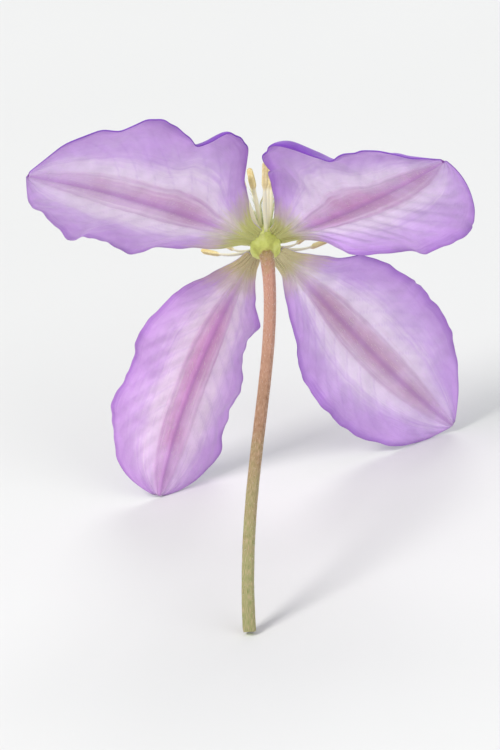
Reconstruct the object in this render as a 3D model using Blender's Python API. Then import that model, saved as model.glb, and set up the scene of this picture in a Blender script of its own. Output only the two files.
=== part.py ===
"""A single clematis flower as picked: four tepals, a receptacle, stamens, styles and its own stalk.

The flower is modelled in its own axes. The origin is where the tepals meet the receptacle, +Z is
the way the flower faces, and the stalk leaves along -Z. A parent empty then lays the flower on its
side, so that it rests on the two lower tepals and on the cut end of the stalk.
Lengths are in metres and angles in degrees.
"""

import math
from collections import namedtuple

import bmesh
import bpy
from mathutils import Vector

MM = 0.001
GAP = 0.3 * MM  # clearance between a piece and the piece it sits on
CLAW_GAP = 0.5 * MM  # the same for the tepals, measured at the middle of their claws

# The pose of the flower on the floor: turned about X, then Y, then Z.
LAID_DOWN = (-72.1, 4.7, 5.4)

# Tepals. Each pair of numbers is (at the claw, at the tip) or (left side, right side), where left is
# the clockwise side as the flower faces the viewer.
#   seat      angle round the receptacle at which the claw sits
#   turn      angle in the flower's face that the midrib sets off in
#   lean      how far the midrib leans back towards the stalk
#   sweep     how far the midrib has turned sideways at the tip, and veer its S-bend
#   twist     how far the blade is rotated about its midrib
#   cup       how far each half bends towards the flower's face, and curl its extra bend at the margin
#   fullness  under 1 puts the widest place nearer to the claw
#   blunt     how much broader than a plain point the tip is
#   lobes     where a margin stands out: (side, part of the length, reach along it, extra width)
Tepal = namedtuple("Tepal", "seat turn lean sweep veer twist length half_width cup curl fullness blunt lobes")
TEPALS = {
    "tepal_upper_left": Tepal(
        225, 215, (8, 16), 0, -5, (0, 0), 47.5 * MM, (13.2 * MM, 16.4 * MM),
        (20, 21), (0, -48), (0.80, 0.90), 0.15, ((1, 0.33, 0.10, 4.5 * MM),),
    ),
    "tepal_upper_right": Tepal(
        315, 317, (25, 24), -15, 1, (-10, 0), 44.5 * MM, (14.4 * MM, 13.6 * MM),
        (14, -14), (-62, 0), (0.80, 1.05), 0.0, ((-1, 0.45, 0.11, 6.5 * MM), (1, 0.76, 0.16, 2.0 * MM)),
    ),
    "tepal_lower_right": Tepal(
        45, 56, (-5, 7), 1, -11, (-18, -30), 50.5 * MM, (13.7 * MM, 12.6 * MM),
        (4, -16), (-7, 15), (0.90, 1.12), 0.10, (),
    ),
    "tepal_lower_left": Tepal(
        135, 116, (5, 25), -5, -6, (0, -3), 47.5 * MM, (11.4 * MM, 11.3 * MM),
        (50, 48), (4, 0), (0.98, 0.84), 0.95, (),
    ),
}
TEPAL_ROWS = 20
TEPAL_COLUMNS = 5  # on each side of the midrib
TEPAL_THICKNESS = 0.75 * MM
MARGIN_THINNESS = 0.55  # thickness at the margin as a part of the thickness at the midrib
RUFFLE_DEPTH = 0.9 * MM
RUFFLE_WAVES = 3.5
VEER_CROSSING = 0.4  # part of the length at which the S-bend swings back through the sweep
FULL_BEND_WIDTH = 0.83  # where a blade is narrower than this part of its widest, it bends less
CURL_START = 0.55  # part of the half width at which the margin's curl begins
BLUNT_START = 0.6  # part of the length at which a blunt tip begins to widen
# Half width along the blade, as a part of the greatest half width: claw, shoulder, widest, point.
OUTLINE = (
    (0.00, 0.12), (0.06, 0.18), (0.17, 0.43), (0.32, 0.78), (0.46, 0.97),
    (0.60, 1.00), (0.72, 0.93), (0.84, 0.70), (0.93, 0.40), (1.00, 0.00),
)

# Receptacle: the profile is turned about the flower's axis, from the stalk to the top of the cone.
SEAT_RADIUS = 2.7 * MM
RECEPTACLE_PROFILE = (
    (0.0, -2.4), (1.0, -2.4), (1.25, -2.0), (1.7, -1.4), (2.35, -0.8), (2.7, -0.3), (2.7, 0.4),
    (2.55, 0.9), (2.45, 1.6), (2.3, 2.3), (2.1, 3.0), (1.75, 3.6), (1.2, 3.95), (0.6, 4.1), (0.0, 4.15),
)
RECEPTACLE_SIDES = 24

# Stalk: it leaves straight back from the receptacle and bends down until its cut end meets the floor.
STALK_LENGTH = 72 * MM
STALK_RADIUS = 1.0 * MM
STALK_NECK_RADIUS = 1.15 * MM
STALK_CUT_RADIUS = 1.1 * MM
STALK_BEND = 46
STALK_BEND_RISE = 1.15  # over 1 keeps the bend away from the flower
STALK_SIDE_BEND = -11
STALK_SEGMENTS = 24
STALK_SIDES = 12
# Along the stalk, from the receptacle: (part of the length, radius).
STALK_OUTLINE = (
    (0.0, STALK_NECK_RADIUS), (0.12, STALK_RADIUS), (0.85, STALK_RADIUS), (1.0, STALK_CUT_RADIUS),
)

# Stamens: whorls from the tepals up, each (height on the cone, radius there, first slope, last slope,
# length). A slope is the angle above the flower's face.
STAMENS_PER_WHORL = 12
WHORLS = (
    (0.85 * MM, 2.56 * MM, 16, 40, 11.8 * MM),
    (1.85 * MM, 2.42 * MM, 30, 56, 11.4 * MM),
    (2.85 * MM, 2.16 * MM, 44, 70, 10.8 * MM),
)
# Along a stamen: (part of the length, half width); the filament broadens into the anther.
STAMEN_OUTLINE = (
    (0.00, 0.30), (0.30, 0.36), (0.60, 0.34), (0.66, 0.52), (0.92, 0.50), (1.00, 0.20),
)
STAMEN_FLATNESS = 0.6
STAMEN_SIDES = 6
ROOT_LIFT = 0.1 * MM  # added to the gap, because the foot of a stamen or a style is flat
ARCH_SEGMENTS = 12
ARCH_END = 0.625  # part of the length by which a stamen or a style has reached its last slope
TURN_SCATTER = 3.5
SLOPE_SCATTER = 3.0
LENGTH_SCATTER = 0.05

# Styles: rings on top of the cone, each (how many, ring radius, height there, first slope, last slope).
STYLE_RINGS = (
    (1, 0.0, 4.15 * MM, 90, 88),
    (6, 0.80 * MM, 4.05 * MM, 86, 78),
    (10, 1.50 * MM, 3.80 * MM, 80, 66),
)
STYLE_LENGTH = 8.2 * MM
STYLE_TURN_SCATTER = 4.0
STYLE_OUTLINE = ((0.00, 0.20), (0.10, 0.28), (0.28, 0.24), (0.60, 0.17), (1.00, 0.10))
STYLE_SIDES = 5

# Colours, linear RGBA.
LILAC = (0.42, 0.24, 0.66, 1)
GREEN_YELLOW = (0.50, 0.56, 0.14, 1)
STALK_BROWN = (0.33, 0.22, 0.12, 1)
CREAM = (0.80, 0.74, 0.50, 1)
PALE_GREEN = (0.66, 0.70, 0.42, 1)


def clear_scene():
    for item in list(bpy.data.objects):
        bpy.data.objects.remove(item, do_unlink=True)


def material(name, colour, roughness):
    made = bpy.data.materials.new(name)
    made.use_nodes = True
    shader = made.node_tree.nodes["Principled BSDF"]
    shader.inputs["Base Color"].default_value = colour
    shader.inputs["Roughness"].default_value = roughness
    shader.inputs["Metallic"].default_value = 0.0
    return made


def add_object(name, mesh_data, finish, parent):
    """Put a mesh in the scene as a node of its own, in the flower's axes."""
    mesh = bpy.data.meshes.new(name)
    mesh_data.normal_update()
    mesh_data.to_mesh(mesh)
    mesh_data.free()
    mesh.materials.append(finish)
    mesh.shade_smooth()
    node = bpy.data.objects.new(name, mesh)
    bpy.context.collection.objects.link(node)
    node.parent = parent
    return node


def between(pair, part):
    return pair[0] + (pair[1] - pair[0]) * part


def smooth_curve(knots, at):
    """The height at a place along knots of (place, height), on a smooth curve through them."""
    places = [knot[0] for knot in knots]
    heights = [knot[1] for knot in knots]
    last = len(knots) - 1

    def slope(i):
        low, high = max(i - 1, 0), min(i + 1, last)
        return (heights[high] - heights[low]) / (places[high] - places[low])

    i = max(k for k in range(last) if places[k] <= at or k == 0)
    span = places[i + 1] - places[i]
    u = (at - places[i]) / span
    return (
        (1 + 2 * u) * (1 - u) ** 2 * heights[i]
        + u * (1 - u) ** 2 * span * slope(i)
        + u * u * (3 - 2 * u) * heights[i + 1]
        + u * u * (u - 1) * span * slope(i + 1)
    )


def lobe_width(spec, side, along):
    """How much further a margin stands out where it has a lobe."""
    width = 0.0
    for which, at, reach, extra in spec.lobes:
        if which == side:
            width += extra * math.exp(-(((along - at) / reach) ** 4))
    return width


def blade_width(spec, side, along):
    """Half width of one side of a tepal, at a part of its length."""
    right = 1 if side > 0 else 0
    width = smooth_curve(OUTLINE, along ** spec.fullness[right])
    end = max(0.0, (along - BLUNT_START) / (1 - BLUNT_START))
    width += 0.5 * spec.blunt * end * (1 - end ** 6)
    return width * spec.half_width[right] + lobe_width(spec, side, along)


def midrib(spec, rows):
    """Points along a tepal's midrib, each with its directions along, across and to the front."""
    turn = math.radians(spec.turn)
    seat = math.radians(spec.seat)
    outward = Vector((math.cos(turn), math.sin(turn), 0))
    sideways = Vector((-math.sin(turn), math.cos(turn), 0))
    place = Vector((math.cos(seat), math.sin(seat), 0)) * (SEAT_RADIUS + CLAW_GAP)
    step = spec.length / rows
    stations = []
    previous = None
    for row in range(rows + 1):
        along = row / rows
        lean = math.radians(between(spec.lean, along))
        yaw = math.radians(spec.sweep * along + 2 * spec.veer * along * (along - VEER_CROSSING))
        twist = math.radians(between(spec.twist, along))
        level = math.cos(yaw) * outward + math.sin(yaw) * sideways
        forward = math.cos(lean) * level - math.sin(lean) * Vector((0, 0, 1))
        across = math.cos(yaw) * sideways - math.sin(yaw) * outward
        front = forward.cross(across)
        if previous is not None:
            place = place + (previous + forward) * (step / 2)
        previous = forward
        stations.append((
            place.copy(),
            forward,
            math.cos(twist) * across + math.sin(twist) * front,
            math.cos(twist) * front - math.sin(twist) * across,
        ))
    return stations


def ruffle(spec, side, along, outness):
    """How far a margin's wave lifts the blade to the front."""
    phase = math.radians(spec.turn * 3 + 80 * side)
    fade = math.sqrt(max(0.0, math.sin(math.pi * along)))
    return RUFFLE_DEPTH * outness ** 2 * fade * math.sin(2 * math.pi * RUFFLE_WAVES * along + phase)


def half_blade(spec, side, row, station, rows, columns):
    """Points from the midrib out to one margin."""
    place, _, across, front = station
    along = row / rows
    width = blade_width(spec, side, along)
    right = 1 if side > 0 else 0
    spread = min(1.0, width / (FULL_BEND_WIDTH * spec.half_width[right]))
    points = []
    here = place.copy()
    for column in range(1, columns + 1):
        middle = (column - 0.5) / columns
        past = max(0.0, (middle - CURL_START) / (1 - CURL_START))
        bend = math.radians(spec.cup[right] * middle + spec.curl[right] * past ** 2) * spread
        here = here + (width / columns) * (side * math.cos(bend) * across + math.sin(bend) * front)
        lift = ruffle(spec, side, along, column / columns)
        points.append(here + lift * (math.cos(bend) * front - side * math.sin(bend) * across))
    return points


def tepal(name, spec, finish, parent):
    """A tepal: a curved sheet with wavy margins, given its thickness by Solidify."""
    bm = bmesh.new()
    rows = []
    for row, station in enumerate(midrib(spec, TEPAL_ROWS)):
        if row == TEPAL_ROWS:
            rows.append([bm.verts.new(station[0])])
            break
        left = half_blade(spec, -1, row, station, TEPAL_ROWS, TEPAL_COLUMNS)
        right = half_blade(spec, 1, row, station, TEPAL_ROWS, TEPAL_COLUMNS)
        rows.append([bm.verts.new(p) for p in list(reversed(left)) + [station[0]] + right])
    for lower, upper in zip(rows, rows[1:]):
        for i in range(2 * TEPAL_COLUMNS):
            if len(upper) > 1:
                bm.faces.new((lower[i], upper[i], upper[i + 1], lower[i + 1]))
            else:
                bm.faces.new((lower[i], upper[0], lower[i + 1]))
    node = add_object(name, bm, finish, parent)
    thick = node.vertex_groups.new(name="thickness")
    for number in range(len(node.data.vertices)):
        column = number % (2 * TEPAL_COLUMNS + 1) - TEPAL_COLUMNS
        at_tip = number == len(node.data.vertices) - 1
        thick.add([number], 0.0 if at_tip else 1.0 - abs(column) / TEPAL_COLUMNS, "REPLACE")
    shell = node.modifiers.new("thickness", "SOLIDIFY")
    shell.thickness = TEPAL_THICKNESS
    shell.offset = 0.0
    shell.vertex_group = thick.name
    shell.thickness_vertex_group = MARGIN_THINNESS
    return node


def sweep_tube(path, radii, sides, flatness=1.0, flat_way=None):
    """A closed tube along a path; a flat one is widest along flat_way."""
    bm = bmesh.new()
    tangents = [
        (path[min(i + 1, len(path) - 1)] - path[max(i - 1, 0)]).normalized() for i in range(len(path))
    ]
    side = flat_way if flat_way is not None else tangents[0].orthogonal()
    rings = []
    for centre, radius, tangent in zip(path, radii, tangents):
        side = (side - tangent * side.dot(tangent)).normalized()
        normal = tangent.cross(side)
        ring = []
        for k in range(sides):
            angle = 2 * math.pi * k / sides
            offset = math.cos(angle) * side + flatness * math.sin(angle) * normal
            ring.append(bm.verts.new(centre + radius * offset))
        rings.append(ring)
    for low, high in zip(rings, rings[1:]):
        for k in range(sides):
            n = (k + 1) % sides
            bm.faces.new((low[k], low[n], high[n], high[k]))
    bm.faces.new(list(reversed(rings[0])))
    bm.faces.new(rings[-1])
    return bm


def receptacle(finish, parent):
    """The solid that carries everything: a collar on the stalk under a low cone."""
    bm = bmesh.new()
    rim = [bm.verts.new((radius * MM, 0, height * MM)) for radius, height in RECEPTACLE_PROFILE]
    edges = [bm.edges.new(pair) for pair in zip(rim, rim[1:])]
    bmesh.ops.spin(
        bm, geom=rim + edges, cent=(0, 0, 0), axis=(0, 0, 1), angle=2 * math.pi,
        steps=RECEPTACLE_SIDES, use_merge=True, use_duplicate=False,
    )
    bmesh.ops.remove_doubles(bm, verts=bm.verts, dist=0.001 * MM)
    bmesh.ops.recalc_face_normals(bm, faces=bm.faces)
    return add_object("receptacle", bm, finish, parent)


def stalk_path():
    """The stalk's centre line from its cut end up to just under the receptacle."""
    start = Vector((0, 0, RECEPTACLE_PROFILE[0][1] * MM - GAP))
    step = STALK_LENGTH / STALK_SEGMENTS
    points = [start]
    for i in range(STALK_SEGMENTS):
        part = (i + 0.5) / STALK_SEGMENTS
        down = math.radians(STALK_BEND) * part ** STALK_BEND_RISE
        aside = math.radians(STALK_SIDE_BEND) * math.sin(math.pi * part)
        heading = Vector((
            math.sin(aside),
            math.cos(aside) * math.sin(down),
            -math.cos(aside) * math.cos(down),
        ))
        points.append(points[-1] + heading * step)
    return points


def stalk(finish, parent):
    path = stalk_path()
    radii = [smooth_curve(STALK_OUTLINE, i / STALK_SEGMENTS) for i in range(STALK_SEGMENTS + 1)]
    return add_object("flower_stalk", sweep_tube(path, radii, STALK_SIDES), finish, parent)


def scatter(number, kind):
    """A repeatable spread between -1 and 1 that differs from one stamen to the next."""
    return math.sin(12.9898 * number + 78.233 * kind)


def arched_path(base, turn, slopes, length):
    """A path that sets off from base at the first slope and ends at the last."""
    outward = Vector((math.cos(turn), math.sin(turn), 0))
    points = [base]
    for i in range(ARCH_SEGMENTS):
        part = (i + 0.5) / ARCH_SEGMENTS
        slope = math.radians(between(slopes, min(1.0, part / ARCH_END)))
        heading = math.cos(slope) * outward + math.sin(slope) * Vector((0, 0, 1))
        points.append(points[-1] + heading * (length / ARCH_SEGMENTS))
    return points


def path_at(path, part):
    """The point at a part of a path's length."""
    place = part * (len(path) - 1)
    low = min(int(place), len(path) - 2)
    return path[low].lerp(path[low + 1], place - low)


def stamens(finish, parent):
    """Whorls of flat filaments that end in anthers, seated on the cone."""
    number = 0
    for level, (height, radius, first, last, length) in enumerate(WHORLS):
        for k in range(STAMENS_PER_WHORL):
            number += 1
            turn = 360 * (k + level / len(WHORLS)) / STAMENS_PER_WHORL + TURN_SCATTER * scatter(number, 1)
            turn = math.radians(turn)
            slopes = (first, last + SLOPE_SCATTER * scatter(number, 2))
            reach = length * (1 + LENGTH_SCATTER * scatter(number, 3))
            start = radius + GAP + ROOT_LIFT
            base = Vector((start * math.cos(turn), start * math.sin(turn), height))
            path = arched_path(base, turn, slopes, reach)
            points = [path_at(path, knot[0]) for knot in STAMEN_OUTLINE]
            radii = [knot[1] * MM for knot in STAMEN_OUTLINE]
            across = Vector((-math.sin(turn), math.cos(turn), 0))
            bm = sweep_tube(points, radii, STAMEN_SIDES, STAMEN_FLATNESS, across)
            add_object(f"stamen_{number:02d}", bm, finish, parent)


def styles(finish, parent):
    """The tuft of styles on top of the cone."""
    number = 0
    for count, radius, height, first, last in STYLE_RINGS:
        for k in range(count):
            number += 1
            turn = math.radians(360 * k / count + STYLE_TURN_SCATTER * scatter(number, 4))
            foot = height + GAP + ROOT_LIFT
            base = Vector((radius * math.cos(turn), radius * math.sin(turn), foot))
            reach = STYLE_LENGTH * (1 + LENGTH_SCATTER * scatter(number, 5))
            path = arched_path(base, turn, (first, last), reach)
            points = [path_at(path, knot[0]) for knot in STYLE_OUTLINE]
            radii = [knot[1] * MM for knot in STYLE_OUTLINE]
            add_object(f"style_{number:02d}", sweep_tube(points, radii, STYLE_SIDES), finish, parent)


def lay_on_floor(parent):
    """Turn the flower to its pose, stand it on Z = 0 and centre its box on the origin."""
    parent.rotation_euler = [math.radians(angle) for angle in LAID_DOWN]
    bpy.context.view_layer.update()
    graph = bpy.context.evaluated_depsgraph_get()
    corners = []
    for node in parent.children:
        shape = node.evaluated_get(graph)
        corners += [shape.matrix_world @ vertex.co for vertex in shape.data.vertices]
    low = [min(point[axis] for point in corners) for axis in range(3)]
    high = [max(point[axis] for point in corners) for axis in range(3)]
    parent.location = (-(low[0] + high[0]) / 2, -(low[1] + high[1]) / 2, -low[2])
    bpy.context.view_layer.update()


def main():
    clear_scene()
    flower = bpy.data.objects.new("flower_pose", None)
    bpy.context.collection.objects.link(flower)
    for name, spec in TEPALS.items():
        tepal(name, spec, material(name, LILAC, 0.55), flower)
    receptacle(material("receptacle", GREEN_YELLOW, 0.6), flower)
    stalk(material("flower_stalk", STALK_BROWN, 0.6), flower)
    stamens(material("stamens", CREAM, 0.6), flower)
    styles(material("styles", PALE_GREEN, 0.6), flower)
    lay_on_floor(flower)


main()
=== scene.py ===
"""The looks of the clematis flower: fine tepals, stamens, styles, receptacle and stalk.

The flower's own axes are those of the model: the origin is where the tepals meet the receptacle, +Z is
the way the flower faces and the stalk leaves along -Z. Lengths are in metres and angles in degrees.
"""

import math
import random
from collections import namedtuple

import bmesh
import bpy
from mathutils import Euler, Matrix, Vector, noise


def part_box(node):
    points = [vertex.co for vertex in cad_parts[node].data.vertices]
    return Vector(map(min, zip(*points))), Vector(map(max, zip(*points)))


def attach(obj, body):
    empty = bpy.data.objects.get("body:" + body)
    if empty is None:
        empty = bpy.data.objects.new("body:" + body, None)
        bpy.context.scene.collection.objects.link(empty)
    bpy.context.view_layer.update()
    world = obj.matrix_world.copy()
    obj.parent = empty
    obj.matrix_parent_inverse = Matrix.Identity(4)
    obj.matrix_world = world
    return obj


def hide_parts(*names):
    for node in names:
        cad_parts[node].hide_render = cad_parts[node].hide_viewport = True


MM = 0.001

# ---------------------------------------------------------------- the model's own dimensions

LAID_DOWN = (-72.1, 4.7, 5.4)

# The same tepals as in the model; folds are where a margin rolls back more: (side, along, reach, angle).
Tepal = namedtuple(
    "Tepal", "seat turn lean sweep veer twist length half_width cup curl fullness blunt lobes folds",
)
TEPALS = {
    "tepal_upper_left": Tepal(
        225, 215, (8, 16), 0, -5, (0, 0), 47.5 * MM, (13.2 * MM, 16.4 * MM),
        (20, 21), (0, -48), (0.80, 0.90), 0.15, ((1, 0.33, 0.10, 4.5 * MM),), ((1, 0.33, 0.15, -35),),
    ),
    "tepal_upper_right": Tepal(
        315, 317, (25, 24), -15, 1, (-10, 0), 44.5 * MM, (14.4 * MM, 13.6 * MM),
        (14, -14), (-62, 0), (0.80, 1.05), 0.0, ((-1, 0.45, 0.11, 6.5 * MM), (1, 0.76, 0.16, 2.0 * MM)),
        ((-1, 0.40, 0.18, -30),),
    ),
    "tepal_lower_right": Tepal(
        45, 56, (-5, 7), 1, -11, (-18, -30), 50.5 * MM, (13.7 * MM, 12.6 * MM),
        (4, -16), (-7, 15), (0.90, 1.12), 0.10, (), (),
    ),
    "tepal_lower_left": Tepal(
        135, 116, (5, 25), -5, -6, (0, -3), 47.5 * MM, (11.4 * MM, 11.3 * MM),
        (50, 48), (4, 0), (0.98, 0.84), 0.95, (), (),
    ),
}
CLAW_GAP = 0.5 * MM
RUFFLE_DEPTH = 0.9 * MM
RUFFLE_WAVES = 3.5
VEER_CROSSING = 0.4
FULL_BEND_WIDTH = 0.83
CURL_START = 0.55
BLUNT_START = 0.6
OUTLINE = (
    (0.00, 0.12), (0.06, 0.18), (0.17, 0.43), (0.32, 0.78), (0.46, 0.97),
    (0.60, 1.00), (0.72, 0.93), (0.84, 0.70), (0.93, 0.40), (1.00, 0.00),
)
SEAT_RADIUS = 2.7 * MM
RECEPTACLE_PROFILE = (
    (0.0, -2.4), (1.0, -2.4), (1.25, -2.0), (1.7, -1.4), (2.35, -0.8), (2.7, -0.3), (2.7, 0.4),
    (2.55, 0.9), (2.45, 1.6), (2.3, 2.3), (2.1, 3.0), (1.75, 3.6), (1.2, 3.95), (0.6, 4.1), (0.0, 4.15),
)
STALK_LENGTH = 72 * MM
STALK_RADIUS = 1.0 * MM
STALK_OUTLINE = ((0.0, 1.15 * MM), (0.12, STALK_RADIUS), (0.85, STALK_RADIUS), (1.0, 1.1 * MM))
STALK_BEND = 46
STALK_BEND_RISE = 1.15
STALK_SIDE_BEND = -11
STAMENS_PER_WHORL = 12
WHORLS = (
    (0.85 * MM, 2.56 * MM, 16, 40, 11.8 * MM),
    (1.85 * MM, 2.42 * MM, 30, 56, 11.4 * MM),
    (2.85 * MM, 2.16 * MM, 44, 70, 10.8 * MM),
)
TURN_SCATTER = 3.5
SLOPE_SCATTER = 3.0
LENGTH_SCATTER = 0.05
STYLE_RINGS = (
    (1, 0.0, 4.15 * MM, 90, 88),
    (6, 0.80 * MM, 4.05 * MM, 86, 78),
    (10, 1.50 * MM, 3.80 * MM, 80, 66),
)
STYLE_LENGTH = 8.2 * MM
STYLE_TURN_SCATTER = 4.0
GAP = 0.3 * MM
ROOT_LIFT = 0.1 * MM
ARCH_END = 0.625

# ---------------------------------------------------------------- how fine the pieces are

BLADE_ROWS = 120
BLADE_COLUMNS = 46  # on each side of the midrib
MIDRIB_THICKNESS = 0.62 * MM
MARGIN_THICKNESS = 0.24 * MM
BASE_SINK = 0.7 * MM  # how far a claw, a filament or a style reaches into the receptacle
LOBE_FOOT = 0.30  # the part of a lobe's width that is left at its foot
MIDDLE_RUFFLE = 0.20 * MM
FINE_RUFFLE = 0.06 * MM
SWELL_HEIGHT = 0.75 * MM
QUILT_HEIGHT = 0.10 * MM
STALK_STATIONS = 150
STALK_SIDES = 48
RECEPTACLE_ROWS = 64
RECEPTACLE_SIDES = 72
STAMEN_STATIONS = 40
STAMEN_SIDES = 20
STYLE_STATIONS = 28
STYLE_SIDES = 14
CUT_RINGS = (0.86, 0.66, 0.45, 0.2)  # parts of the stalk's radius
STALK_HAIRS = 900
TEPAL_HAIRS = 420
STYLE_HAIRS = 46


def smooth_curve(knots, at):
    """The height at a place along knots of (place, height), on a smooth curve through them."""
    places = [knot[0] for knot in knots]
    heights = [knot[1] for knot in knots]
    last = len(knots) - 1

    def slope(i):
        low, high = max(i - 1, 0), min(i + 1, last)
        return (heights[high] - heights[low]) / (places[high] - places[low])

    i = max(k for k in range(last) if places[k] <= at or k == 0)
    span = places[i + 1] - places[i]
    u = (at - places[i]) / span
    return (
        (1 + 2 * u) * (1 - u) ** 2 * heights[i]
        + u * (1 - u) ** 2 * span * slope(i)
        + u * u * (3 - 2 * u) * heights[i + 1]
        + u * u * (u - 1) * span * slope(i + 1)
    )


def between(pair, part):
    return pair[0] + (pair[1] - pair[0]) * part


def step_up(low, high, value):
    """0 below low, 1 above high, and a smooth step between them."""
    part = min(1.0, max(0.0, (value - low) / (high - low)))
    return part * part * (3 - 2 * part)


def bump(value, centre, reach):
    return math.exp(-(((value - centre) / reach) ** 2))


# ---------------------------------------------------------------- tepals: shape

def lobe_width(spec, side, along):
    """How much further a margin stands out where it has a lobe, which starts gently on its base side."""
    width = 0.0
    for which, at, reach, extra in spec.lobes:
        if which == side:
            foot = LOBE_FOOT * bump(along, at - 1.35 * reach, 0.9 * reach)
            width += extra * (math.exp(-(((along - at) / reach) ** 4)) + foot)
    return width


def blade_width(spec, side, along):
    """Half width of one side of a tepal, at a part of its length."""
    right = 1 if side > 0 else 0
    width = smooth_curve(OUTLINE, along ** spec.fullness[right])
    end = max(0.0, (along - BLUNT_START) / (1 - BLUNT_START))
    width += 0.5 * spec.blunt * end * (1 - end ** 6)
    crenation = 1 + 0.008 * math.sin(61 * along + spec.turn) + 0.004 * math.sin(113 * along + side)
    return (width * spec.half_width[right] + lobe_width(spec, side, along)) * crenation


def midrib(spec, rows):
    """Points along a tepal's midrib, each with its directions along, across and to the front."""
    turn = math.radians(spec.turn)
    seat = math.radians(spec.seat)
    outward = Vector((math.cos(turn), math.sin(turn), 0))
    sideways = Vector((-math.sin(turn), math.cos(turn), 0))
    place = Vector((math.cos(seat), math.sin(seat), 0)) * (SEAT_RADIUS + CLAW_GAP)
    step = spec.length / rows
    stations = []
    previous = None
    for row in range(rows + 1):
        along = row / rows
        lean = math.radians(between(spec.lean, along))
        yaw = math.radians(spec.sweep * along + 2 * spec.veer * along * (along - VEER_CROSSING))
        twist = math.radians(between(spec.twist, along))
        level = math.cos(yaw) * outward + math.sin(yaw) * sideways
        forward = math.cos(lean) * level - math.sin(lean) * Vector((0, 0, 1))
        across = math.cos(yaw) * sideways - math.sin(yaw) * outward
        front = forward.cross(across)
        if previous is not None:
            place = place + (previous + forward) * (step / 2)
        previous = forward
        stations.append((
            place - forward * BASE_SINK * (1 - step_up(0, 0.06, along)),
            math.cos(twist) * across + math.sin(twist) * front,
            math.cos(twist) * front - math.sin(twist) * across,
        ))
    return stations


def margin_wave(spec, side, along, outness):
    """How far the blade is lifted to the front by the waves that run along its margin."""
    phase = math.radians(spec.turn * 3 + 80 * side)
    fade = math.sqrt(max(0.0, math.sin(math.pi * along)))
    broad = RUFFLE_DEPTH * outness ** 2 * math.sin(2 * math.pi * RUFFLE_WAVES * along + phase)
    middle = MIDDLE_RUFFLE * outness ** 4 * math.sin(2 * math.pi * 7.3 * along + 2.1 * phase)
    fine = FINE_RUFFLE * outness ** 7 * math.sin(2 * math.pi * 17 * along + 3.7 * phase)
    return fade * (broad + middle + fine)


def buckle(spec, along, across):
    """Low swells all over a blade, and the quilting between its side veins."""
    outness = abs(across)
    swell = noise.noise(Vector((5.5 * along, 2.2 * across, spec.turn)))
    swell += 0.5 * noise.noise(Vector((13 * along, 5 * across, spec.turn + 7)))
    quilt = math.sin(math.pi * outness) * math.sin(2 * math.pi * (along - 0.30 * outness) / SIDE_VEIN_STEP)
    fade = step_up(0.05, 0.25, along) * (1 - step_up(0.9, 1, along))
    return SWELL_HEIGHT * swell * outness * fade + QUILT_HEIGHT * quilt


def fold(spec, side, along):
    """The extra curl of a margin where it is tucked over."""
    return sum(angle * bump(along, at, reach) for which, at, reach, angle in spec.folds if which == side)


RIB_HEIGHT = 0.26 * MM
VEIN_HEIGHT = 0.11 * MM
RIB_GROOVE = 0.14 * MM
VEIN_GROOVE = 0.06 * MM
SIDE_VEINS = 9
SIDE_VEIN_START = 0.02
SIDE_VEIN_STEP = 0.078
SIDE_VEIN_RUN = 0.30


def veins(along, outness, half_width):
    """Strength of the main and the side veins at a point of a blade, from 0 to 1 each."""
    out = outness * half_width / MM
    taper = 1 - 0.55 * along
    main = bump(out, 0, 0.50 * taper + 0.12)
    inner = 0.16 + 0.05 * math.sin(math.pi * along)
    outer = 0.40 + 0.10 * math.sin(math.pi * along)
    main = max(main, 0.85 * taper * bump(out, inner * half_width / MM, 0.26))
    side = 0.7 * taper * bump(out, outer * half_width / MM, 0.20)
    for number in range(SIDE_VEINS):
        part = (along - SIDE_VEIN_START - number * SIDE_VEIN_STEP) / SIDE_VEIN_RUN
        if 0 <= part <= 1:
            place = inner + (0.98 - inner) * part ** 0.8
            strength = 0.62 * (1 - part) ** 0.35
            side = max(side, strength * bump(out, place * half_width / MM, 0.17))
            fork = inner + (0.98 - inner) * (part * 0.82) ** 1.25
            if part > 0.3:
                side = max(side, 0.6 * strength * bump(out, fork * half_width / MM, 0.14))
    return main, min(1.0, side)


def blade_points(spec, row, station):
    """Points across a tepal at one station, each with its front direction and what the finish needs."""
    place, across, front = station
    along = row / BLADE_ROWS
    line = {0: (place, front, along, 0.0, veins(along, 0.0, spec.half_width[0]))}
    for side in (-1, 1):
        right = 1 if side > 0 else 0
        width = blade_width(spec, side, along)
        spread = min(1.0, width / (FULL_BEND_WIDTH * spec.half_width[right]))
        here = place.copy()
        for column in range(1, BLADE_COLUMNS + 1):
            middle = (column - 0.5) / BLADE_COLUMNS
            past = max(0.0, (middle - CURL_START) / (1 - CURL_START))
            curl = spec.curl[right] + fold(spec, side, along)
            bend = math.radians(spec.cup[right] * middle + curl * past ** 2) * spread
            step = side * math.cos(bend) * across + math.sin(bend) * front
            here = here + (width / BLADE_COLUMNS) * step
            outness = column / BLADE_COLUMNS
            facing = math.cos(bend) * front - side * math.sin(bend) * across
            lift = margin_wave(spec, side, along, outness)
            point = here + (lift + buckle(spec, along, side * outness)) * facing
            line[side * column] = (point, facing, along, side * outness, veins(along, outness, width))
    return [line[column] for column in range(-BLADE_COLUMNS, BLADE_COLUMNS + 1)]


def blade_thickness(along, across):
    thick = MIDRIB_THICKNESS + (MARGIN_THICKNESS - MIDRIB_THICKNESS) * abs(across) ** 0.7
    return thick * (1 - 0.35 * step_up(0.85, 1, along))


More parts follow.
